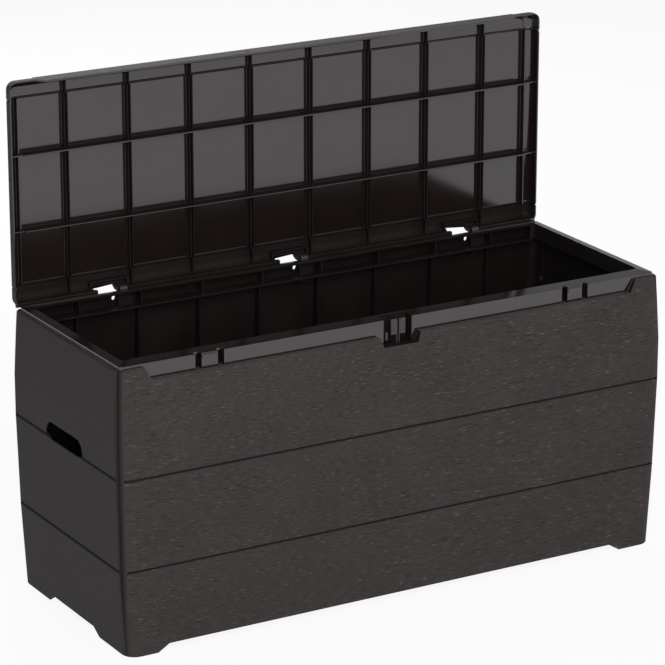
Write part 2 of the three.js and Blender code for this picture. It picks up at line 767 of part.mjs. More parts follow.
function hingeClip(s) {
  const x0 = s + clipOffset - clipWidth / 2;
  const x1 = s + clipOffset + clipWidth / 2;
  const hook = barRadius + fitGap + clipWall;
  const legFace = clipPocketFloor() + fitGap;
  const leg = box(s + clipOffset - clipLegWidth / 2, s + clipOffset + clipLegWidth / 2, legFace,
    legFace + clipLegThickness, shoulderHeight - clipLegDrop, shoulderHeight - fitGap);
  const neck = box(x0, x1, legFace, barY + hook / 2, shoulderHeight - 2 * clipWall, barZ);
  const round = cylinder(hook, [x0, barY, barZ], [x1, barY, barZ], barSegments);
  const bore = cylinder(barRadius + fitGap, [x0 - 1, barY, barZ], [x1 + 1, barY, barZ], barSegments);
  const mouthCut = box(x0 - 1, x1 + 1, barY, barY + 2 * hook, barZ - clipMouthHalf, barZ + clipMouthHalf);
  const holes = clipScrewPlaces(s).map((place) => screwHole(place));
  return without(joined([leg, neck, round]), [bore, mouthCut, ...holes]);
}

function clipScrew({ x, z }) {
  const seat = clipPocketFloor() + fitGap + clipLegThickness + fitGap;
  const tip = clipPocketFloor() - screwLength + 1;
  const head = cylinder(screwHeadRadius, [x, seat, z], [x, seat + screwHeadHeight, z], headSegments);
  const shank = cylinder(screwShankRadius, [x, tip, z], [x, seat + screwHeadHeight / 2, z], shankSegments);
  return head.add(shank);
}

// ---------------------------------------------------------------- lock receiver

const receiverBack = rimFrontFace + bayDepth - fitGap;

function lockReceiver() {
  const top = rimTop - fitGap;
  const foot = bayBottom + fitGap;
  const half = bayHalf - receiverInset;
  const front = rimFrontFace - lugReach;
  const pieces = [box(-half, half, receiverBack - receiverPlate, receiverBack, foot, top)];
  for (const side of [-1, 1]) {
    const lug = [side * lugGapHalf, side * (lugGapHalf + lugThickness)].sort((a, b) => a - b);
    const pad = [side * lugGapHalf, side * (lugGapHalf + lugPadWidth)].sort((a, b) => a - b);
    pieces.push(box(lug[0], lug[1], front, receiverBack - 1, foot, top));
    pieces.push(box(pad[0], pad[1], front, rimFrontFace + skin, top - lugPadDrop, top));
  }
  const guide = -guideOffset;
  const guideFoot = foot + guideLow;
  pieces.push(box(guide - guideWidth / 2, guide + guideWidth / 2, rimFrontFace, receiverBack - 1,
    guideFoot, guideFoot + guideHeight));
  const holes = receiverScrewPlaces().map(({ x, z }) => cylinder(
    screwShankRadius + fitGap, [x, receiverBack - 2 * receiverPlate, z], [x, receiverBack + 1, z],
    shankSegments));
  return without(joined(pieces), holes);
}

function receiverScrewPlaces() {
  return [-1, 1].map((side) => ({ x: side * receiverScrewOffset, z: rimTop - skin - receiverScrewDrop }));
}

function receiverScrew({ x, z }) {
  const seat = receiverBack - receiverPlate - fitGap;
  const head = cylinder(screwHeadRadius, [x, seat - screwHeadHeight, z], [x, seat, z], headSegments);
  const shankStart = seat - screwHeadHeight / 2;
  const shank = cylinder(screwShankRadius, [x, shankStart, z], [x, receiverBack, z], shankSegments);
  return head.add(shank);
}

// ---------------------------------------------------------------- lid, closed, about its bar

const lidRear = barSetback;
const lidFront = -shoulderHalfDepth - barY;
const lidLength = lidRear - lidFront;
const lidMiddle = (lidRear + lidFront) / 2;
const lidRimZ = -barSetback;
const lidTopZ = lidRimZ + lidDepth;
const lidHalf = shoulderHalfWidth - lidSideInset;
const lidUnder = lidTopZ - lidSkin;

// inset and height of each step of the lid's rounded edge, from its side face to its top
function lidEdgeSteps(amount) {
  const radius = lidEdgeRound - amount;
  const steps = [];
  for (let step = 0; step <= lidEdgeSegments; step += 1) {
    const angle = THREE.MathUtils.degToRad((90 * step) / lidEdgeSegments);
    const sunk = amount + radius * (1 - Math.sin(angle));
    steps.push({ inset: radius * (1 - Math.cos(angle)), z: lidTopZ - sunk });
  }
  return steps;
}

// the lid's outside without its grooves, shrunk by an amount
function plainLidForm(amount, bottom) {
  const plan = { x0: -lidHalf + amount, x1: lidHalf - amount, y0: lidFront + amount, y1: lidRear - amount };
  const steps = [{ inset: 0, z: bottom }, ...lidEdgeSteps(amount)];
  return loft(steps.map((step) => ({
    z: step.z,
    x0: plan.x0 + step.inset,
    x1: plan.x1 - step.inset,
    y0: plan.y0 + step.inset,
    y1: plan.y1 - step.inset,
    r: lidPlanRadius - amount - step.inset * lidCornerBlend,
  })));
}

// cross-section of the lid in X and Z, shrunk by an amount
function lidSection(amount) {
  const half = lidHalf - amount;
  const right = lidEdgeSteps(amount).map((step) => [half - step.inset, step.z]);
  const left = right.map(([x, z]) => [-x, z]).reverse();
  return [[-half, -lidLength], [half, -lidLength], ...right, ...left];
}

// what a groove takes off a lid form: a slab across the lid less a waisted copy of its section
function lidGrooveCut(y, amount) {
  const clear = 0.1;
  const waist = [
    [y - lidGrooveHalf, -clear], [y, lidGrooveDepth], [y + lidGrooveHalf, -clear],
  ];
  const rings = waist.map(([at, sunk]) => lidSection(amount + sunk).map(([x, z]) => [x, at, z]));
  const count = rings[0].length;
  const indices = [];
  for (let layer = 0; layer < rings.length - 1; layer += 1) {
    for (let i = 0; i < count; i += 1) {
      const a = layer * count + i;
      const b = layer * count + ((i + 1) % count);
      indices.push(a, b + count, b, a, a + count, b + count);
    }
  }
  const last = (rings.length - 1) * count;
  for (let i = 1; i < count - 1; i += 1) {
    indices.push(0, i, i + 1);
    indices.push(last, last + i + 1, last + i);
  }
  const geometry = new THREE.BufferGeometry();
  geometry.setAttribute('position', new THREE.Float32BufferAttribute(rings.flat(2), 3));
  geometry.setIndex(indices);
  const slab = box(-far, far, y - lidGrooveHalf, y + lidGrooveHalf, -lidLength / 2, lidLength);
  return slab.subtract(solid(geometry));
}

function lidForm(amount, bottom) {
  const cuts = [-1, 1].map((side) => lidGrooveCut(lidMiddle + side * lidGrooveOffset, amount));
  return without(plainLidForm(amount, bottom), cuts);
}

function ribBox(x, thickness, y0, y1, height) {
  return box(x - thickness / 2, x + thickness / 2, y0, y1, lidUnder - height, lidUnder + lidSkin / 2);
}

function lidRibs() {
  const pieces = [];
  const frontLine = lidMiddle - lidGrooveOffset;
  const rearLine = lidMiddle + lidGrooveOffset;
  const inFront = lidFront + lidSkin / 2;
  const tallEnd = mouth.x1 - tallRibRimClearance;
  const inRear = lidRear - lidSkin / 2;
  for (let i = 0; i < lidRibCount; i += 1) {
    const x = (i - (lidRibCount - 1) / 2) * lidRibPitch;
    const offset = lidPairHalf - lidRibThickness / 2;
    pieces.push(ribBox(x - offset, lidRibThickness, frontLine, rearLine, lidRibHeight));
    pieces.push(ribBox(x + offset, lidRibThickness, frontLine, rearLine, lidRibHeight));
    pieces.push(ribBox(x, lidRibThickness, inFront, frontLine + 1, borderRibHeight));
    pieces.push(ribBox(x, lidRibThickness, rearLine - 1, inRear, borderRibHeight));
  }
  for (const side of [-1, 1]) {
    pieces.push(ribBox(side * mouth.x1, tallRibThickness, frontLine, rearLine, sideRibHeight));
    const y = lidMiddle + side * tallRibOffset;
    const t = tallRibThickness / 2;
    const top = lidUnder + lidSkin / 2;
    pieces.push(box(-tallEnd, tallEnd, y - t, y + t, lidUnder - tallRibHeight, top));
    const end = lidHalf - lidSkin / 2;
    pieces.push(box(-end, end, y - t, y + t, lidUnder - tallRibEndHeight, top));
  }
  return pieces;
}

// places along X at each hinge station of the lid: the window, the cheek beside it and the pocket
function hingeStations() {
  return stations.map((station) => {
    const s = station * hingePitch;
    return {
      windowStart: s - hingeWindowLeft,
      windowEnd: s + hingeWindowRight,
      pocketStart: s + hingeWindowRight + hingeCheek,
      pocketEnd: s + hingePocketRight,
    };
  });
}

function windowFrames() {
  const pieces = [];
  const t = windowFrameThickness;
  const inner = lidRear - hingeWindowReach - windowFrameSetback;
  for (const place of hingeStations()) {
    const low = lidUnder - windowFrameHeight;
    const high = lidUnder + lidSkin / 2;
    const left = place.windowStart - windowFrameSetback;
    const right = place.pocketEnd + windowFrameSetback;
    const rear = lidRear - lidSkin / 2;
    pieces.push(box(place.windowEnd, place.pocketStart, lidRear - hingeWindowReach, rear, lidRimZ, high));
    pieces.push(box(left, right, inner - t, inner, low, high));
    pieces.push(box(left, left + t, inner - t, rear, low, high));
    pieces.push(box(right - t, right, inner - t, rear, low, high));
  }
  return pieces;
}

function lid() {
  const outside = lidForm(0, lidRimZ);
  const skirtReach = frontSkirtDrop + lidSkin;
  const footHalf = stripBottomHalf - skirtEndClearance;
  const topHalf = stripTopHalf - skirtEndClearance;
  const frontSkirt = prismY([
    [-footHalf, lidRimZ - frontSkirtDrop], [footHalf, lidRimZ - frontSkirtDrop],
    [topHalf, lidRimZ], [topHalf, lidRimZ + skirtReach],
    [-topHalf, lidRimZ + skirtReach], [-topHalf, lidRimZ],
  ], lidFront, lidFront + frontSkirtThickness);
  const insideSpace = lidForm(lidSkin / 2, lidRimZ);
  const beadHalf = lidHalf - lidSkin;
  const bead = box(-beadHalf, beadHalf, lidRear - beadDepth, lidRear, lidRimZ, lidRimZ + beadDepth);
  const stiffening = joined([...lidRibs(), ...windowFrames(), bead]).intersect(insideSpace.add(bead));
  const skirtSlot = outside.subtract(lidForm(lidSkin, lidRimZ - 1));
  let body = joined([skirtSlot, frontSkirt, stiffening]);
  const rimRoom = box(rimSideFace - rimCornerRadius, rimSideFace + rimClearance,
    rimFrontFace - barY, rimBackFace - barY, lidRimZ - 1, lidRimZ + rimStep + rimClearance);
  body = without(body, [rimRoom, rimRoom.mirror([1, 0, 0])]);
  // the rear lower corner is round about the bar, so that the lid clears the shoulder as it turns
  const corner = box(-far, far, 0, far, -far, 0);
  const roundCorner = cylinder(barSetback, [-far, 0, 0], [far, 0, 0], barSegments);
  body = body.subtract(corner.subtract(roundCorner));
  const bars = [];
  const reach = lidRear - hingeWindowReach;
  for (const { windowStart, windowEnd, pocketStart, pocketEnd } of hingeStations()) {
    body = body.subtract(box(windowStart, windowEnd, reach, far, -far, far));
    body = body.subtract(box(pocketStart, pocketEnd, reach, far, -far, hingePocketHeight));
    bars.push(cylinder(barRadius, [pocketStart - barEnd, 0, 0], [pocketEnd + barEnd, 0, 0], barSegments));
  }
  return body.add(joined(bars));
}

// ---------------------------------------------------------------- colours and assembly

const grainFinish = new THREE.MeshStandardMaterial({ color: 0x3f3a39, roughness: 0.8, metalness: 0 });
const smoothFinish = new THREE.MeshStandardMaterial({ color: 0x2a2524, roughness: 0.35, metalness: 0 });
const clipFinish = new THREE.MeshStandardMaterial({ color: 0x1c1918, roughness: 0.5, metalness: 0 });
const steelFinish = new THREE.MeshStandardMaterial({ color: 0x8c8c8c, roughness: 0.4, metalness: 1 });

function named(name, manifold, material) {
  const mesh = new THREE.Mesh(geometryOf(manifold), material);
  mesh.name = name;
  return mesh;
}

const stationNames = { '-1': 'left', 0: 'centre', 1: 'right' };
const body = new THREE.Group();

function addEach(name, manifolds, material) {
  manifolds.forEach((manifold, index) => body.add(named(`${name}_${index + 1}`, manifold, material)));
}

body.add(named('floor_panel', floorPanel(), smoothFinish));
body.add(named('front_panel', frontPanel(), grainFinish));
body.add(named('back_panel', backPanel(), grainFinish));
body.add(named('left_end_panel', endPanel(-1), grainFinish));
body.add(named('right_end_panel', endPanel(1), grainFinish));
for (const station of stations) {
  const s = station * hingePitch;
  const place = stationNames[station];
  body.add(named(`hinge_clip_${place}`, hingeClip(s), clipFinish));
  addEach(`hinge_screw_${place}`, clipScrewPlaces(s).map(clipScrew), steelFinish);
}
for (const [side, place] of [[-1, 'left'], [1, 'right']]) {
  for (const [depthSide, depthName] of [[-1, 'front'], [1, 'back']]) {
    addEach(`corner_rivet_${depthName}_${place}`, rivetPlaces(side, depthSide).map(rivetBody), clipFinish);
  }
}
body.add(named('lock_receiver', lockReceiver(), clipFinish));
addEach('lock_receiver_screw', receiverScrewPlaces().map(receiverScrew), steelFinish);

const lidTurn = new THREE.Group();
lidTurn.position.set(0, barY, barZ);
lidTurn.rotation.x = -THREE.MathUtils.degToRad(openAngle);
lidTurn.add(named('lid', lid(), smoothFinish));
body.add(lidTurn);

// the origin is the middle of the footprint of the whole box with its lid open
const frontMost = -upperGrooveDepth / 2;
const rearMost = barY + lidTopZ;
body.position.y = -(frontMost + rearMost) / 2;

const deckBox = new THREE.Group();
deckBox.add(body);

export default deckBox;
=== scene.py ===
# Resin deck storage box with its lid standing open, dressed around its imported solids.
import bmesh
import bpy
import math
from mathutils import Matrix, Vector


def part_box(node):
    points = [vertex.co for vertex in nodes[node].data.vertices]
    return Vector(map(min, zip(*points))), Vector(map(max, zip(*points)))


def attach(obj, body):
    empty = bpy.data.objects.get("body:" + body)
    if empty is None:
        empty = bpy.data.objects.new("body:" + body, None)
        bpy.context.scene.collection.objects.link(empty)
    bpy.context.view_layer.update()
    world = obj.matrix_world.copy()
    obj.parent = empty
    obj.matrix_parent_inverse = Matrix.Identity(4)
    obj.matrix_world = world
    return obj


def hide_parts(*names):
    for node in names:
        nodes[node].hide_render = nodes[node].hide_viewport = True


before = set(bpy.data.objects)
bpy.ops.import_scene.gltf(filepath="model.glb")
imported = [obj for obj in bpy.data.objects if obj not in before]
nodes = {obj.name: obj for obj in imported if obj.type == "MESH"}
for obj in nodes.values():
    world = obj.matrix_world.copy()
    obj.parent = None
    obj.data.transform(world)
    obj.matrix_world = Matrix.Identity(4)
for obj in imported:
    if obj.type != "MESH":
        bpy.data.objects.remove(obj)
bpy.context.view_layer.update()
print("frame loaded:", len(nodes), "nodes")


# places read from the frame, and others given, in metres
def lowAndHigh(name):
    low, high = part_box(name)
    return Vector(low), Vector(high)


frontLow, frontHigh = lowAndHigh("front_panel")
backHigh = lowAndHigh("back_panel")[1]
lidLow, lidHigh = lowAndHigh("lid")
receiverLow = lowAndHigh("lock_receiver")[0]

walls = {
    "shoulder": frontHigh.z - 0.0075,      # the ledge outside the rim
    "middleY": (frontLow.y + backHigh.y) / 2,
    "outerReachX": 0.5665,                 # outer faces of the end walls lie beyond this
    "outerReachY": 0.2075,                 # the same for the front and back, from the middle
    "facing": 0.3,                         # least part of a normal that points outwards
    "postStart": 0.3515,                   # how much further out in x than in y the corner posts begin
    "postReach": 0.2065,                   # and their faces lie beyond this, from the middle
    "stripFace": 0.204,                    # faces of the smooth strip lie beyond this, from the middle
    "stripDrop": 0.024,                    # and their middles lie within this of the shoulder
    "ledgeDrop": 0.0255,                   # the ledge under the strip lies within this of the shoulder
    "bayHalf": 0.05,                       # half the width of the place in the rim that holds the lock
    "upright": 0.5,                        # least part of a normal on faces that look up or forwards
    "slack": 0.0002,                       # kept below the shoulder by the planks' faces
    "edge": 0.0005,                        # faces this near the shoulder's height count as level with it
}


# the camera, with its angles in degrees and lengths in metres; its lens and sensor are in millimetres
view = {
    "azimuth": -30.143,
    "elevation": 18.034,
    "distance": 6.5144,
    "target": Vector((-0.01949, -0.00775, 0.46599)),
    "lens": 187.08,
    "sensor": 36,
    "farthest": 50,
}


def makeCamera():
    azimuth = math.radians(view["azimuth"])
    elevation = math.radians(view["elevation"])
    backwards = Vector((
        math.sin(azimuth) * math.cos(elevation),
        -math.cos(azimuth) * math.cos(elevation),
        math.sin(elevation),
    ))
    data = bpy.data.cameras.new("camera")
    data.lens = view["lens"]
    data.sensor_width = view["sensor"]
    data.clip_end = view["farthest"]
    camera = bpy.data.objects.new("camera", data)
    camera.location = view["target"] + backwards * view["distance"]
    camera.rotation_euler = backwards.to_track_quat("Z", "Y").to_euler()
    bpy.context.scene.collection.objects.link(camera)
    bpy.context.scene.camera = camera


makeCamera()
bpy.context.scene.view_settings.view_transform = "Standard"
print("camera placed")


# a value knows its tree, so sums and products add their own nodes
class Value:
    def __init__(self, tree, socket):
        self.tree = tree
        self.socket = socket

    def maths(self, operation, *others, clamp=False):
        settings = {"operation": operation, "use_clamp": clamp}
        return self.tree.add("ShaderNodeMath", settings, [self, *others])

    def __add__(self, other):
        return self.maths("ADD", other)

    __radd__ = __add__

    def __mul__(self, other):
        return self.maths("MULTIPLY", other)

    __rmul__ = __mul__

    def __sub__(self, other):
        return self.maths("SUBTRACT", other)

    def __rsub__(self, other):
        return self * -1 + other

    def __truediv__(self, other):
        return self.maths("DIVIDE", other)

    def __rtruediv__(self, other):
        return self.maths("POWER", -1) * other

    def __abs__(self):
        return self.maths("ABSOLUTE")

    # 0 at the start, 1 at the end, whichever of the two is the larger
    def rising(self, start, end):
        return ((self - start) / (end - start)).maths("ADD", 0, clamp=True)


class NodeTree:
    def __init__(self, tree):
        self.tree = tree
        self.tree.nodes.clear()

    # a list among the inputs holds the values that one socket joins
    def add(self, kind, settings, inputs, output=0):
        node = self.tree.nodes.new(kind)
        for key, setting in settings.items():
            setattr(node, key, setting)
        pairs = inputs.items() if isinstance(inputs, dict) else enumerate(inputs)
        for key, given in pairs:
            for part in given if isinstance(given, list) else [given]:
                if isinstance(part, Value):
                    self.tree.links.new(part.socket, node.inputs[key])
                else:
                    node.inputs[key].default_value = part
        if not node.outputs:
            return None
        return Value(self, node.outputs[output])

    def place(self):
        return self.add("ShaderNodeTexCoord", {}, [], "Object")

    def parts(self, vector):
        return [self.add("ShaderNodeSeparateXYZ", {}, [vector], axis) for axis in "XYZ"]

    def vector(self, x, y, z):
        return self.add("ShaderNodeCombineXYZ", {}, [x, y, z])

    def noise(self, vector, scale, detail=2, roughness=0.5):
        inputs = {"Vector": vector, "Scale": scale, "Detail": detail, "Roughness": roughness}
        return self.add("ShaderNodeTexNoise", {}, inputs)

    # 0, 6 and 7 are the node's inputs for the factor and two colours, and 2 is its colour output
    def mixColours(self, factor, first, second):
        return self.add("ShaderNodeMix", {"data_type": "RGBA"}, {0: factor, 6: first, 7: second}, 2)

    def bump(self, height, strength, distance):
        inputs = {"Height": height, "Strength": strength, "Distance": distance}
        return self.add("ShaderNodeBump", {}, inputs)

    def lightPath(self, output):
        return self.add("ShaderNodeLightPath", {}, [], output)

    def seenDirectly(self):
        rays = ["Is Camera Ray", "Is Glossy Ray", "Is Transmission Ray"]
        camera, glossy, transmission = [self.lightPath(ray) for ray in rays]
        return (camera + glossy + transmission).maths("MINIMUM", 1)


def newMaterial(name):
    material = bpy.data.materials.new(name)
    material.use_nodes = True
    return material, NodeTree(material.node_tree)


def surface(tree, sockets):
    shader = tree.add("ShaderNodeBsdfPrincipled", {}, sockets)
    tree.add("ShaderNodeOutputMaterial", {}, [shader])


# materials: lengths in metres, scales in features to the metre
frontGrain = {
    "dark": (0.0225, 0.0182, 0.0176, 1),
    "light": (0.0430, 0.0358, 0.0346, 1),
    "fleck": (0.105, 0.095, 0.093, 1),
    "pit": (0.010, 0.0078, 0.0075, 1),
    "streakLength": 0.018,
    "streakWidth": 0.0022,
    "streakShare": 0.65,               # of the height, which the fine hairs fill up
    "fineLength": 0.013,
    "fineWidth": 0.0014,
    "fineShift": 5,                    # keeps the hairs' pattern apart from the streaks'
    "toneAmounts": (0.36, 0.66),
    "fleckAmounts": (0.61, 0.68),
    "pitAmounts": (0.41, 0.34),
    "nearStreaks": (0.45, 0.55),       # flecks lie on the crests of the streaks, pits in their troughs
    "clusterSize": 0.02,
    "clusterAmounts": (0.42, 0.58),
    "waviness": 0.0006,
    "waveScale": 14,
    "mottleSize": 0.09,
    "mottleAmounts": (0.3, 0.7),
    "mottleShare": 0.25,               # of the tone, against the height's
    "roughness": 0.7,
    "roughnessSpread": 0.3,
    "shine": 0.18,
    "strength": 1,
    "relief": 0.0004,
}
endGrain = {
    **frontGrain,
    "dark": (0.0225, 0.0195, 0.0190, 1),
    "light": (0.0285, 0.0248, 0.0242, 1),
    "fleck": (0.060, 0.055, 0.054, 1),
    "pit": (0.017, 0.0145, 0.0140, 1),
    "streakLength": 0.007,
    "fineLength": 0.004,
    "fineWidth": 0.0012,
    "fleckAmounts": (0.64, 0.72),
    "relief": 0.0002,
}
# painted light: a lighter copy of the front's grain for faces that look up, its tones raised to make up
# for the light those faces get less of than the front
paintedLightEdgeGrain = {
    **frontGrain,
    "dark": (0.040, 0.0335, 0.0325, 1),
    "light": (0.070, 0.060, 0.058, 1),
    "pit": (0.020, 0.0165, 0.016, 1),
}
# painted shade: dark lines along the grooves between one plank and the next, standing in for the shadow
# inside them
paintedGrooveShade = {
    "heights": (0.1645, 0.340),
    "half": 0.0007,
    "soft": 0.0026,
    "colour": (0.003, 0.0025, 0.0025, 1),
}


# streaks run level round the walls, and along the length of faces that look up
def makeGrainedResin(name, grain, looksUp=False):
    material, tree = newMaterial(name)
    place = tree.place()
    x, y, z = tree.parts(place)
    along = x if looksUp else x + y
    warp = tree.noise(place, grain["waveScale"], detail=1) * grain["waviness"]
    across = (y if looksUp else z) + warp
    depth = z if looksUp else x - y
    coarse = tree.vector(along / grain["streakLength"], across / grain["streakWidth"], depth)
    fineDepth = depth + grain["fineShift"]
    fine = tree.vector(along / grain["fineLength"], across / grain["fineWidth"], fineDepth)
    streaks = tree.noise(coarse, 1, detail=3, roughness=0.6)
    hairs = tree.noise(fine, 1, detail=2, roughness=0.5)
    mottle = tree.noise(place, 1 / grain["mottleSize"], detail=3, roughness=0.55)
    height = streaks * grain["streakShare"] + hairs * (1 - grain["streakShare"])
    mottled = mottle.rising(*grain["mottleAmounts"]) * grain["mottleShare"]
    tone = height.rising(*grain["toneAmounts"]) * (1 - grain["mottleShare"]) + mottled
    gathered = tree.noise(place, 1 / grain["clusterSize"], detail=2, roughness=0.5)
    clusters = gathered.rising(*grain["clusterAmounts"])
    trough, crest = grain["nearStreaks"]
    flecks = hairs.rising(*grain["fleckAmounts"]) * streaks.rising(trough, crest) * clusters
    pits = hairs.rising(*grain["pitAmounts"]) * streaks.rising(crest, trough) * clusters
    colour = tree.mixColours(tone, grain["dark"], grain["light"])
    colour = tree.mixColours(flecks, colour, grain["fleck"])
    colour = tree.mixColours(pits, colour, grain["pit"])
    # painted shade darkens the colour along each groove between the planks
    for seam in paintedGrooveShade["heights"]:
        inPaintedGrooveShade = abs(z - seam).rising(paintedGrooveShade["soft"], paintedGrooveShade["half"])
        colour = tree.mixColours(inPaintedGrooveShade, colour, paintedGrooveShade["colour"])
    surface(tree, {
        "Base Color": colour,
        "Roughness": grain["roughness"] + (0.5 - height) * grain["roughnessSpread"],
        "Specular IOR Level": grain["shine"],
        "Normal": tree.bump(height, grain["strength"], grain["relief"]),
    })
    return material


smooth = {
    "colour": (0.0105, 0.0068, 0.0066, 1),
    "lighter": (0.0125, 0.0085, 0.0082, 1),
    "cloudScale": 9,
    "cloudAmounts": (0.35, 0.65),
    "roughness": 0.12,
    "roughnessSpread": 0.04,
    "shine": 0.95,
    "sheen": (1.0, 0.98, 0.985, 1),
    "rippleScale": 5,
    "poreScale": 900,
    "poreShare": 0.004,
    "strength": 0.5,
    "unevenness": 0.0008,
}


def makeSmoothResin():
    material, tree = newMaterial("smoothResin")
    place = tree.place()
    cloudy = tree.noise(place, smooth["cloudScale"], detail=3, roughness=0.5)
    ripple = tree.noise(place, smooth["rippleScale"], detail=1, roughness=0.4)
    pores = tree.noise(place, smooth["poreScale"], detail=2, roughness=0.6)
    clouds = cloudy.rising(*smooth["cloudAmounts"])
    uneven = ripple + pores * smooth["poreShare"]
    surface(tree, {
        "Base Color": tree.mixColours(clouds, smooth["colour"], smooth["lighter"]),
        "Roughness": smooth["roughness"] + (cloudy - 0.5) * smooth["roughnessSpread"],
        "Specular IOR Level": smooth["shine"],
        "Specular Tint": smooth["sheen"],
        "Normal": tree.bump(uneven, smooth["strength"], smooth["unevenness"]),
    })
    return material


fittings = {
    "colour": (0.014, 0.012, 0.0115, 1),
    "lighter": (0.022, 0.019, 0.018, 1),
    "cloudScale": 60,
    "roughness": 0.42,
    "roughnessSpread": 0.1,
    "shine": 0.6,
    "poreScale": 1800,
    "strength": 0.3,
    "relief": 0.0001,
}


def makeFittingsResin():
    material, tree = newMaterial("fittingsResin")
    place = tree.place()
    cloudy = tree.noise(place, fittings["cloudScale"], detail=3, roughness=0.6)
    pores = tree.noise(place, fittings["poreScale"], detail=2, roughness=0.6)
    surface(tree, {
        "Base Color": tree.mixColours(cloudy, fittings["colour"], fittings["lighter"]),
        "Roughness": fittings["roughness"] + (cloudy - 0.5) * fittings["roughnessSpread"],
        "Specular IOR Level": fittings["shine"],
        "Specular Tint": smooth["sheen"],
        "Normal": tree.bump(pores, fittings["strength"], fittings["relief"]),
    })
    return material


steel = {
    "colour": (0.42, 0.42, 0.41, 1),
    "worn": (0.25, 0.25, 0.24, 1),
    "scratchScale": 1400,
    "scratchAmounts": (0.4, 0.7),
    "roughness": 0.34,
    "roughnessSpread": 0.3,
    "strength": 0.3,
    "relief": 0.0001,
}


def makeScrewSteel():
    material, tree = newMaterial("screwSteel")
    place = tree.place()
    scratches = tree.noise(place, steel["scratchScale"], detail=3, roughness=0.7)
    wear = scratches.rising(*steel["scratchAmounts"])
    surface(tree, {
        "Base Color": tree.mixColours(wear, steel["colour"], steel["worn"]),
        "Metallic": 1.0,
        "Roughness": steel["roughness"] + (scratches - 0.5) * steel["roughnessSpread"],
        "Normal": tree.bump(scratches, steel["strength"], steel["relief"]),
    })
    return material


# painted shade: the matt resin of the inside, the floor, the lid's ribs and the band by its hinges, its
# colour darker than the smooth resin's to stand in for their shade
innerPaintedShade = {
    "colour": (0.0058, 0.0041, 0.0038, 1),
    "lighter": (0.0085, 0.0062, 0.0058, 1),
    "cloudScale": 16,
    "cloudAmounts": (0.35, 0.65),
    "roughness": 0.66,
    "roughnessSpread": 0.15,
    "shine": 0.12,
    "poreScale": 1100,
    "strength": 0.3,
    "relief": 0.0002,
}


def makeInnerPaintedShadeResin():
    material, tree = newMaterial("innerPaintedShadeResin")
    place = tree.place()
    cloudy = tree.noise(place, innerPaintedShade["cloudScale"], detail=4, roughness=0.55)
    pores = tree.noise(place, innerPaintedShade["poreScale"], detail=2, roughness=0.6)
    clouds = cloudy.rising(*innerPaintedShade["cloudAmounts"])
    surface(tree, {
        "Base Color": tree.mixColours(clouds, innerPaintedShade["colour"], innerPaintedShade["lighter"]),
        "Roughness": innerPaintedShade["roughness"] + (cloudy - 0.5) * innerPaintedShade["roughnessSpread"],
        "Specular IOR Level": innerPaintedShade["shine"],
        "Normal": tree.bump(pores, innerPaintedShade["strength"], innerPaintedShade["relief"]),
    })
    return material


post = {
    "byEnd": (0.0235, 0.0202, 0.0197, 1),
    # painted shade: the dark line down the round where it faces away from the lamps
    "line": (0.006, 0.0050, 0.0048, 1),
    "byFace": (0.037, 0.0325, 0.032, 1),
    "lineStarts": (0.0195, 0.017),      # how far outwards the end wall's tone turns into the painted shade line
    "lineEnds": (0.001, 0.0155),
    "cloudScale": 30,
    "roughness": 0.66,
    "roughnessSpread": 0.15,
    "shine": 0.1,
    "strength": 0.3,
    "relief": 0.0003,
}


# the smooth round of each corner post, with a dark line of painted shade down its side where the round
# faces away from the lamps
def makePostPaintedShadeResin():
    material, tree = newMaterial("postPaintedShadeResin")
    place = tree.place()
    x, y = tree.parts(place)[:2]
    outwards = abs(x) - abs(y - walls["middleY"]) - walls["postStart"]
    cloudy = tree.noise(place, post["cloudScale"], detail=3, roughness=0.5)
    # the front's tone darkens outwards into the painted shade line, and that line turns into the end
    # wall's tone
    paintedShadeTowardsFace = tree.mixColours(outwards.rising(*post["lineEnds"]), post["byFace"], post["line"])
    surface(tree, {
        "Base Color": tree.mixColours(outwards.rising(*post["lineStarts"]), post["byEnd"], paintedShadeTowardsFace),
        "Roughness": post["roughness"] + (cloudy - 0.5) * post["roughnessSpread"],
        "Specular IOR Level": post["shine"],
        "Normal": tree.bump(cloudy, post["strength"], post["relief"]),
    })
    return material


grainedResin = makeGrainedResin("grainedResin", frontGrain)
endResin = makeGrainedResin("endResin", endGrain)
paintedLightEdgeResin = makeGrainedResin("paintedLightEdgeResin", paintedLightEdgeGrain, looksUp=True)
innerPaintedShadeResin = makeInnerPaintedShadeResin()
postPaintedShadeResin = makePostPaintedShadeResin()
smoothResin = makeSmoothResin()
fittingsResin = makeFittingsResin()
screwSteel = makeScrewSteel()
print("materials made")


# moulded pieces: the solids with their edges rounded and each face given its finish
softening = {
    "mergeDistance": 0.00002,
    "flatAngle": 0.35,       # degrees between faces that become one
    "sharpAngle": 28,        # degrees between faces whose edge is rounded
    "segments": 2,
}

# places in each moulding's list of materials
smoothFinish, grainedFinish, innerPaintedShadeFinish, postFinish, paintedLightEdgeFinish = range(5)
corners = [(-1, -1), (-1, 1), (1, -1), (1, 1)]


def onOutside(centre, normal, y):
    faceX = normal.x * centre.x > abs(centre.x) * walls["facing"]
    faceY = normal.y * y > abs(y) * walls["facing"]
    onSide = abs(centre.x) > walls["outerReachX"] and faceX
    onFace = abs(y) > walls["outerReachY"] and faceY
    return centre.z < walls["shoulder"] - walls["slack"] and (onSide or onFace)


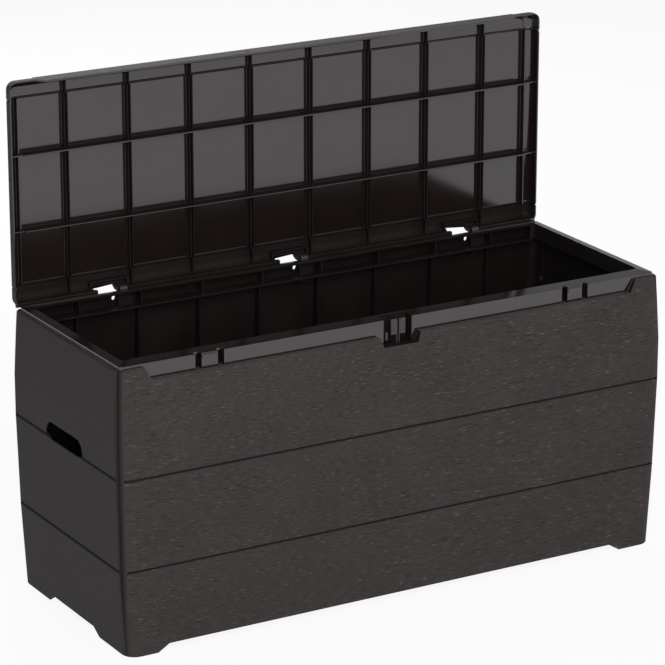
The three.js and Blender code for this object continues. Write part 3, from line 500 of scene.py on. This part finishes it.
# the planks outside are grained, the corner posts plain with a painted shade line, the rim and the strip
# smooth, the ledge under the strip lighter with painted light, and the rest matt and darker with painted
# shade
def wallFinish(centre, normal):
    y = centre.y - walls["middleY"]
    if onOutside(centre, normal, y):
        onPost = abs(centre.x) - abs(y) > walls["postStart"] and abs(y) > walls["postReach"]
        return postFinish if onPost else grainedFinish
    looksUp = normal.z > walls["upright"]
    onTop = looksUp and centre.z > walls["shoulder"] - walls["edge"]
    byStrip = y < -walls["stripFace"]
    # the ledge under the strip takes the lighter grain of painted light
    if looksUp and not onTop and byStrip and centre.z > walls["shoulder"] - walls["ledgeDrop"]:
        return paintedLightEdgeFinish
    onRimEdge = centre.z > walls["shoulder"] + walls["edge"] and abs(centre.x) > walls["bayHalf"]
    highEnough = centre.z > walls["shoulder"] - walls["stripDrop"]
    onStrip = normal.y < -walls["upright"] and byStrip and highEnough
    return smoothFinish if onTop or onRimEdge or onStrip else innerPaintedShadeFinish


lidParts = {
    "backDepth": 0.0202,     # the back's faces lie within this of its furthest point
    "backLean": 0.15,        # least part of a normal that points backwards on the back
    "edgeDepth": 0.005,      # the same two for the outer edges at the top and sides
    "edgeLean": 0.3,
    "ribLean": 0.3,          # largest part of a normal that points forwards or back on a rib's sides
    "ribUnder": -0.5,        # faces that look further down than this aren't a rib's
    "skirt": 0.012,          # how far in the lid's own sides reach; the ribs lie further in
    "hingeBand": 0.045,      # how far up the matt band darkened with painted shade by the hinges reaches
    "ribPitch": 0.13,        # from one pair of ribs to the next
    "pairHalf": 0.0045,      # this near a pair's middle lie its two ribs and the gap between them
}


# the open lid is smooth inside, matt and darkened with painted shade on its ribs, the gaps in each pair
# and by its hinges, and grained on its back and outer edges, the top ones lighter with painted light
def lidFinish(centre, normal):
    outwards = abs(centre.x)
    onBack = normal.y > lidParts["backLean"] and centre.y > lidHigh.y - lidParts["backDepth"]
    onTop = normal.z > lidParts["edgeLean"] and centre.z > lidHigh.z - lidParts["edgeDepth"]
    looksAside = normal.x * centre.x > outwards * lidParts["edgeLean"]
    onSide = looksAside and outwards > lidHigh.x - lidParts["edgeDepth"]
    if onTop and not onBack:
        return paintedLightEdgeFinish
    if onBack or onSide:
        return grainedFinish
    upright = abs(normal.y) < lidParts["ribLean"] and normal.z > lidParts["ribUnder"]
    onRib = upright and outwards < lidHigh.x - lidParts["skirt"]
    fromPair = abs(outwards % lidParts["ribPitch"] - lidParts["ribPitch"] / 2)
    onPair = fromPair < lidParts["pairHalf"]
    byHinges = centre.z < lidLow.z + lidParts["hingeBand"]
    return innerPaintedShadeFinish if onRib or byHinges or onPair else smoothFinish


def smoothAll(centre, normal):
    return smoothFinish


# every face matt and darkened with painted shade
def matteAll(centre, normal):
    return innerPaintedShadeFinish


lugDepth = 0.012            # how far the lock's lugs reach back from their faces


# the lock's plate takes the darker matt finish as painted shadow behind its two shiny lugs
def receiverFinish(centre, normal):
    return innerPaintedShadeFinish if centre.y > receiverLow.y + lugDepth else smoothFinish


def finished(mesh, name, body, slot, *nodeNames):
    piece = bpy.data.objects.new(name, mesh)
    bpy.context.scene.collection.objects.link(piece)
    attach(piece, body)
    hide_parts(*nodeNames)


def evaluated(piece):
    graph = bpy.context.evaluated_depsgraph_get()
    mesh = bpy.data.meshes.new_from_object(piece.evaluated_get(graph))
    bpy.data.objects.remove(piece)
    return mesh


def softened(name, nodeName, width, finishOf, materials):
    shape = bmesh.new()
    shape.from_mesh(nodes[nodeName].data)
    bmesh.ops.remove_doubles(shape, verts=shape.verts, dist=softening["mergeDistance"])
    bmesh.ops.dissolve_limit(
        shape,
        angle_limit=math.radians(softening["flatAngle"]),
        use_dissolve_boundaries=False,
        verts=shape.verts,
        edges=shape.edges,
    )
    # walls are cut where their corner posts begin, so that no face runs across
    for side, depth in corners if finishOf is wallFinish else []:
        bmesh.ops.bisect_plane(
            shape,
            geom=shape.verts[:] + shape.edges[:] + shape.faces[:],
            plane_co=(side * walls["postStart"], walls["middleY"], 0),
            plane_no=(side, -depth, 0),
        )
    for face in shape.faces:
        face.smooth = True
        face.material_index = finishOf(face.calc_center_median_weighted(), face.normal)
    mesh = bpy.data.meshes.new(name)
    for material in materials:
        mesh.materials.append(material)
    shape.to_mesh(mesh)
    shape.free()
    rough = bpy.data.objects.new(name + "Rough", mesh)
    bpy.context.scene.collection.objects.link(rough)
    bevel = rough.modifiers.new("bevel", "BEVEL")
    bevel.width = width
    bevel.segments = softening["segments"]
    bevel.limit_method = "ANGLE"
    bevel.angle_limit = math.radians(softening["sharpAngle"])
    bevel.use_clamp_overlap = False
    bevel.miter_outer = "MITER_SHARP"
    normals = rough.modifiers.new("normals", "WEIGHTED_NORMAL")
    normals.keep_sharp = False
    return evaluated(rough)


wall = {
    "body": "box",
    "slot": "grained_resin",
    "width": 0.0006,         # of the rounding along the edges, narrowest where details are finest
    "finish": wallFinish,
    "plain": smoothResin,
    "outside": grainedResin,
}
fitting = {
    **wall,
    "slot": "fittings_resin",
    "width": 0.0003,
    "finish": smoothAll,
    "plain": fittingsResin,
}
mouldings = [
    {**wall, "name": "frontWall", "node": "front_panel", "width": 0.0004},
    {**wall, "name": "backWall", "node": "back_panel"},
    {**wall, "name": "leftEnd", "node": "left_end_panel", "outside": endResin},
    {**wall, "name": "rightEnd", "node": "right_end_panel", "outside": endResin},
    {**wall, "name": "boxFloor", "node": "floor_panel", "slot": "smooth_resin", "finish": matteAll},
    {**wall, "name": "openLid", "node": "lid", "body": "lid", "slot": "smooth_resin",
     "finish": lidFinish},
    {**fitting, "name": "lockReceiver", "node": "lock_receiver", "finish": receiverFinish},
    {**fitting, "name": "leftClip", "node": "hinge_clip_left"},
    {**fitting, "name": "centreClip", "node": "hinge_clip_centre"},
    {**fitting, "name": "rightClip", "node": "hinge_clip_right"},
]

for moulding in mouldings:
    finishes = [moulding["plain"], moulding["outside"], innerPaintedShadeResin, postPaintedShadeResin, paintedLightEdgeResin]
    mesh = softened(moulding["name"], moulding["node"], moulding["width"], moulding["finish"], finishes)
    finished(mesh, moulding["name"], moulding["body"], moulding["slot"], moulding["node"])
    print("moulding", moulding["name"], len(mesh.polygons), "faces")


# fasteners: one tree of nodes makes each kind of head and shank and sets a copy at every place
class GeometryTree(NodeTree):
    def __init__(self, name):
        super().__init__(bpy.data.node_groups.new(name, "GeometryNodeTree"))
        self.identifiers = {}
        self.tree.interface.new_socket("Geometry", in_out="INPUT", socket_type="NodeSocketGeometry")
        self.tree.interface.new_socket("Geometry", in_out="OUTPUT", socket_type="NodeSocketGeometry")

    def named(self, name, kind):
        socket = self.tree.interface.new_socket(name, in_out="INPUT", socket_type="NodeSocket" + kind)
        self.identifiers[name] = socket.identifier

    def given(self, name):
        return self.add("NodeGroupInput", {}, [], name)

    def moved(self, geometry, **changes):
        return self.add("GeometryNodeTransform", {}, {"Geometry": geometry, **changes})

    def joined(self, *geometries):
        return self.add("GeometryNodeJoinGeometry", {}, [list(reversed(geometries))])

    def bored(self, body, *cutters):
        return self.add("GeometryNodeMeshBoolean", {"operation": "DIFFERENCE"}, [body, list(cutters)])

    def rod(self, segments, radius, depth):
        sizes = {"Vertices": segments, "Radius": radius, "Depth": depth}
        return self.add("GeometryNodeMeshCylinder", {}, sizes)

    def shaded(self, geometry, domain, **others):
        inputs = {"Geometry": geometry, **others}
        return self.add("GeometryNodeSetShadeSmooth", {"domain": domain}, inputs)


screw = {
    "segments": 36,
    "rings": 16,
    "headHeight": 0.0018,
    "shankRadius": 0.0018,
    "domeShare": 0.6,        # of the head's height
    "domeReach": 0.99,       # of the head's radius
    "slotLength": 1.25,      # slot sizes as shares of the head's radius and height
    "slotWidth": 0.26,
    "slotDepth": 0.55,
    "arms": 2,
    "sharpAngle": 0.5,       # radians between faces whose edge stays sharp
    "material": screwSteel,
    "slot": "screw_steel",
    "axis": 1,               # the one they point along, and "outward" gives the way
}
hingeScrew = {**screw, "name": "hingeScrews", "nodes": "hinge_screw", "outward": lambda name: 1}
lockScrew = {**screw, "name": "lockScrews", "nodes": "lock_receiver_screw", "outward": lambda name: -1}
cornerRivet = {
    **screw,
    "name": "cornerRivets",
    "nodes": "corner_rivet",
    "axis": 0,
    "outward": lambda name: 1 if "left" in name else -1,     # the heads face into the box
    "segments": 40,
    "headHeight": 0.0024,
    "shankRadius": 0.0025,
    "domeShare": 0.45,
    "slotLength": 0.5,
    "slotWidth": 0.5,
    "slotDepth": 0.4,
    "arms": 1,
    "material": fittingsResin,
    "slot": "fittings_resin",
}


# a domed head with a recess, standing on z = 0 with its shank below, copied to every point and turned
def fastenerTree(name, style):
    tree = GeometryTree(name)
    for size in ("Head Radius", "Head Height", "Shank Radius", "Shank Length"):
        tree.named(size, "Float")
    tree.named("Segments", "Int")
    tree.named("Material", "Material")
    radius = tree.given("Head Radius")
    tall = tree.given("Head Height")
    thin = tree.given("Shank Radius")
    long = tree.given("Shank Length")
    segments = tree.given("Segments")
    rimTall = tall * (1 - style["domeShare"])
    rim = tree.moved(tree.rod(segments, radius, rimTall), Translation=tree.vector(0, 0, rimTall / 2))
    ballSizes = {"Segments": segments, "Rings": style["rings"], "Radius": 1.0}
    ball = tree.add("GeometryNodeMeshUVSphere", {}, ballSizes)
    reach = radius * style["domeReach"]
    domeScale = tree.vector(reach, reach, tall * style["domeShare"])
    dome = tree.moved(ball, Translation=tree.vector(0, 0, rimTall), Scale=domeScale)
    recesses = []
    for arm in range(style["arms"]):
        size = tree.vector(radius * style["slotLength"], radius * style["slotWidth"], tall)
        bar = tree.add("GeometryNodeMeshCube", {}, {"Size": size})
        # the bar is as tall as the head, and its foot is the slot's floor
        lift = tree.vector(0, 0, tall * (1.5 - style["slotDepth"]))
        recesses.append(tree.moved(bar, Translation=lift, Rotation=(0, 0, math.pi / 2 * arm)))
    shank = tree.moved(tree.rod(segments, thin, long), Translation=tree.vector(0, 0, long * -0.5))
    whole = tree.joined(tree.bored(rim, *recesses), tree.bored(dome, *recesses), shank)
    edgeAngle = tree.add("GeometryNodeInputMeshEdgeAngle", {}, [])
    comparison = {"data_type": "FLOAT", "operation": "GREATER_THAN"}
    isSharp = tree.add("FunctionNodeCompare", comparison, [edgeAngle, style["sharpAngle"]])
    whole = tree.shaded(whole, "FACE", **{"Shade Smooth": True})
    whole = tree.shaded(whole, "EDGE", **{"Selection": isSharp, "Shade Smooth": False})
    turn = tree.add("GeometryNodeInputNamedAttribute", {"data_type": "FLOAT_VECTOR"}, {"Name": "turn"})
    spread = {"Points": tree.given("Geometry"), "Instance": whole, "Rotation": turn}
    copies = tree.add("GeometryNodeInstanceOnPoints", {}, spread)
    solid = tree.add("GeometryNodeRealizeInstances", {}, {"Geometry": copies})
    coat = {"Geometry": solid, "Material": tree.given("Material")}
    tree.add("NodeGroupOutput", {}, [tree.add("GeometryNodeSetMaterial", {}, coat)])
    return tree


# the head's seat and sizes, read from the solid that the fastener stands for, and its direction along
# the given axis
def fastenerPlace(nodeName, axis, outward, headHeight):
    low, high = lowAndHigh(nodeName)
    tip = high[axis] if outward > 0 else low[axis]
    seat = (low + high) / 2
    seat[axis] = tip - outward * headHeight
    return {
        "seat": seat,
        "radius": (high.z - low.z) / 2,
        "length": high[axis] - low[axis] - headHeight,
        "direction": Vector([outward if index == axis else 0 for index in range(3)]),
    }


def setFasteners(style):
    name = style["name"]
    nodeNames = [node for node in sorted(nodes) if node.startswith(style["nodes"])]
    places = [
        fastenerPlace(node, style["axis"], style["outward"](node), style["headHeight"])
        for node in nodeNames
    ]
    cloud = bpy.data.meshes.new(name + "Points")
    cloud.from_pydata([place["seat"] for place in places], [], [])
    turns = cloud.attributes.new("turn", "FLOAT_VECTOR", "POINT")
    for entry, place in zip(turns.data, places):
        entry.vector = place["direction"].to_track_quat("Z", "Y").to_euler()
    maker = bpy.data.objects.new(name + "Points", cloud)
    bpy.context.scene.collection.objects.link(maker)
    tree = fastenerTree(name + "Tree", style)
    modifier = maker.modifiers.new("fasteners", "NODES")
    modifier.node_group = tree.tree
    values = {
        "Head Radius": places[0]["radius"],
        "Head Height": style["headHeight"],
        "Shank Radius": style["shankRadius"],
        "Shank Length": places[0]["length"],
        "Segments": style["segments"],
        "Material": style["material"],
    }
    for key, value in values.items():
        modifier[tree.identifiers[key]] = value
    mesh = evaluated(maker)
    finished(mesh, name, "box", style["slot"], *nodeNames)
    print("fasteners", name, len(places), "of", len(mesh.polygons), "faces in all")


for style in (hingeScrew, lockScrew, cornerRivet):
    setFasteners(style)


# the floor and the sky
stage = {
    "floorSize": 14,
    "floorColour": (0.82, 0.82, 0.82, 1),
    "floorGlow": 0.9,           # how much of the floor's own light is plain white where it is seen
    "skyFill": 0.25,
    "skyDarkens": (0.35, 0.6),  # sines of the heights between which gloss stops seeing white
    "skyTop": 0.12,
    "behind": (-0.1, 0.3),      # how far back a direction points where the sky behind begins and is full
    "skyBehind": 0.65,          # how much darker gloss sees the sky behind the box
    "white": (1, 1, 1, 1),
}


def makeFloor():
    half = stage["floorSize"] / 2
    mesh = bpy.data.meshes.new("groundPlane")
    outline = [(-half, -half, 0), (half, -half, 0), (half, half, 0), (-half, half, 0)]
    mesh.from_pydata(outline, [], [(0, 1, 2, 3)])
    ground = bpy.data.objects.new("groundPlane", mesh)
    bpy.context.scene.collection.objects.link(ground)
    material, tree = newMaterial("paleGround")
    diffuse = tree.add("ShaderNodeBsdfDiffuse", {}, {"Color": stage["floorColour"]})
    glow = tree.add("ShaderNodeEmission", {}, {"Color": stage["white"], "Strength": 1.0})
    seen = tree.seenDirectly() * stage["floorGlow"]
    mixed = tree.add("ShaderNodeMixShader", {}, [seen, diffuse, glow])
    tree.add("ShaderNodeOutputMaterial", {}, [mixed])
    mesh.materials.append(material)


def makeSky():
    world = bpy.data.worlds.new("sky")
    bpy.context.scene.world = world
    world.use_nodes = True
    tree = NodeTree(world.node_tree)
    y, height = tree.parts(tree.add("ShaderNodeTexCoord", {}, [], "Generated"))[1:]
    inGloss = tree.lightPath("Is Glossy Ray") * (1 - tree.lightPath("Is Camera Ray"))
    behind = y.rising(*stage["behind"]) * stage["skyBehind"]
    high = (1 - (1 - height.rising(*stage["skyDarkens"])) * (1 - behind)) * inGloss
    seen = tree.seenDirectly() * (1 - high) + high * stage["skyTop"]
    strength = seen * (1 - stage["skyFill"]) + stage["skyFill"] * (1 - high)
    background = tree.add("ShaderNodeBackground", {}, {"Color": stage["white"], "Strength": strength})
    tree.add("ShaderNodeOutputWorld", {}, [background])


lampAim = Vector((0, 0, 0.4))
lamps = [
    {"name": "keyLamp", "from": (-1.7, -3.8, 2.6), "size": 3.2, "power": 190},
    {"name": "rightLamp", "from": (3.6, -1.2, 2.2), "size": 2.5, "power": 45},
    {"name": "backLamp", "from": (0.6, 3.8, 2.6), "size": 2.8, "power": 110},
]


def makeLamps():
    for lamp in lamps:
        data = bpy.data.lights.new(lamp["name"], "AREA")
        data.shape = "SQUARE"
        data.size = lamp["size"]
        data.energy = lamp["power"]
        light = bpy.data.objects.new(lamp["name"], data)
        light.location = Vector(lamp["from"])
        backwards = Vector(lamp["from"]) - lampAim
        light.rotation_euler = backwards.to_track_quat("Z", "Y").to_euler()
        bpy.context.scene.collection.objects.link(light)


makeFloor()
makeSky()
makeLamps()
print("stage set")
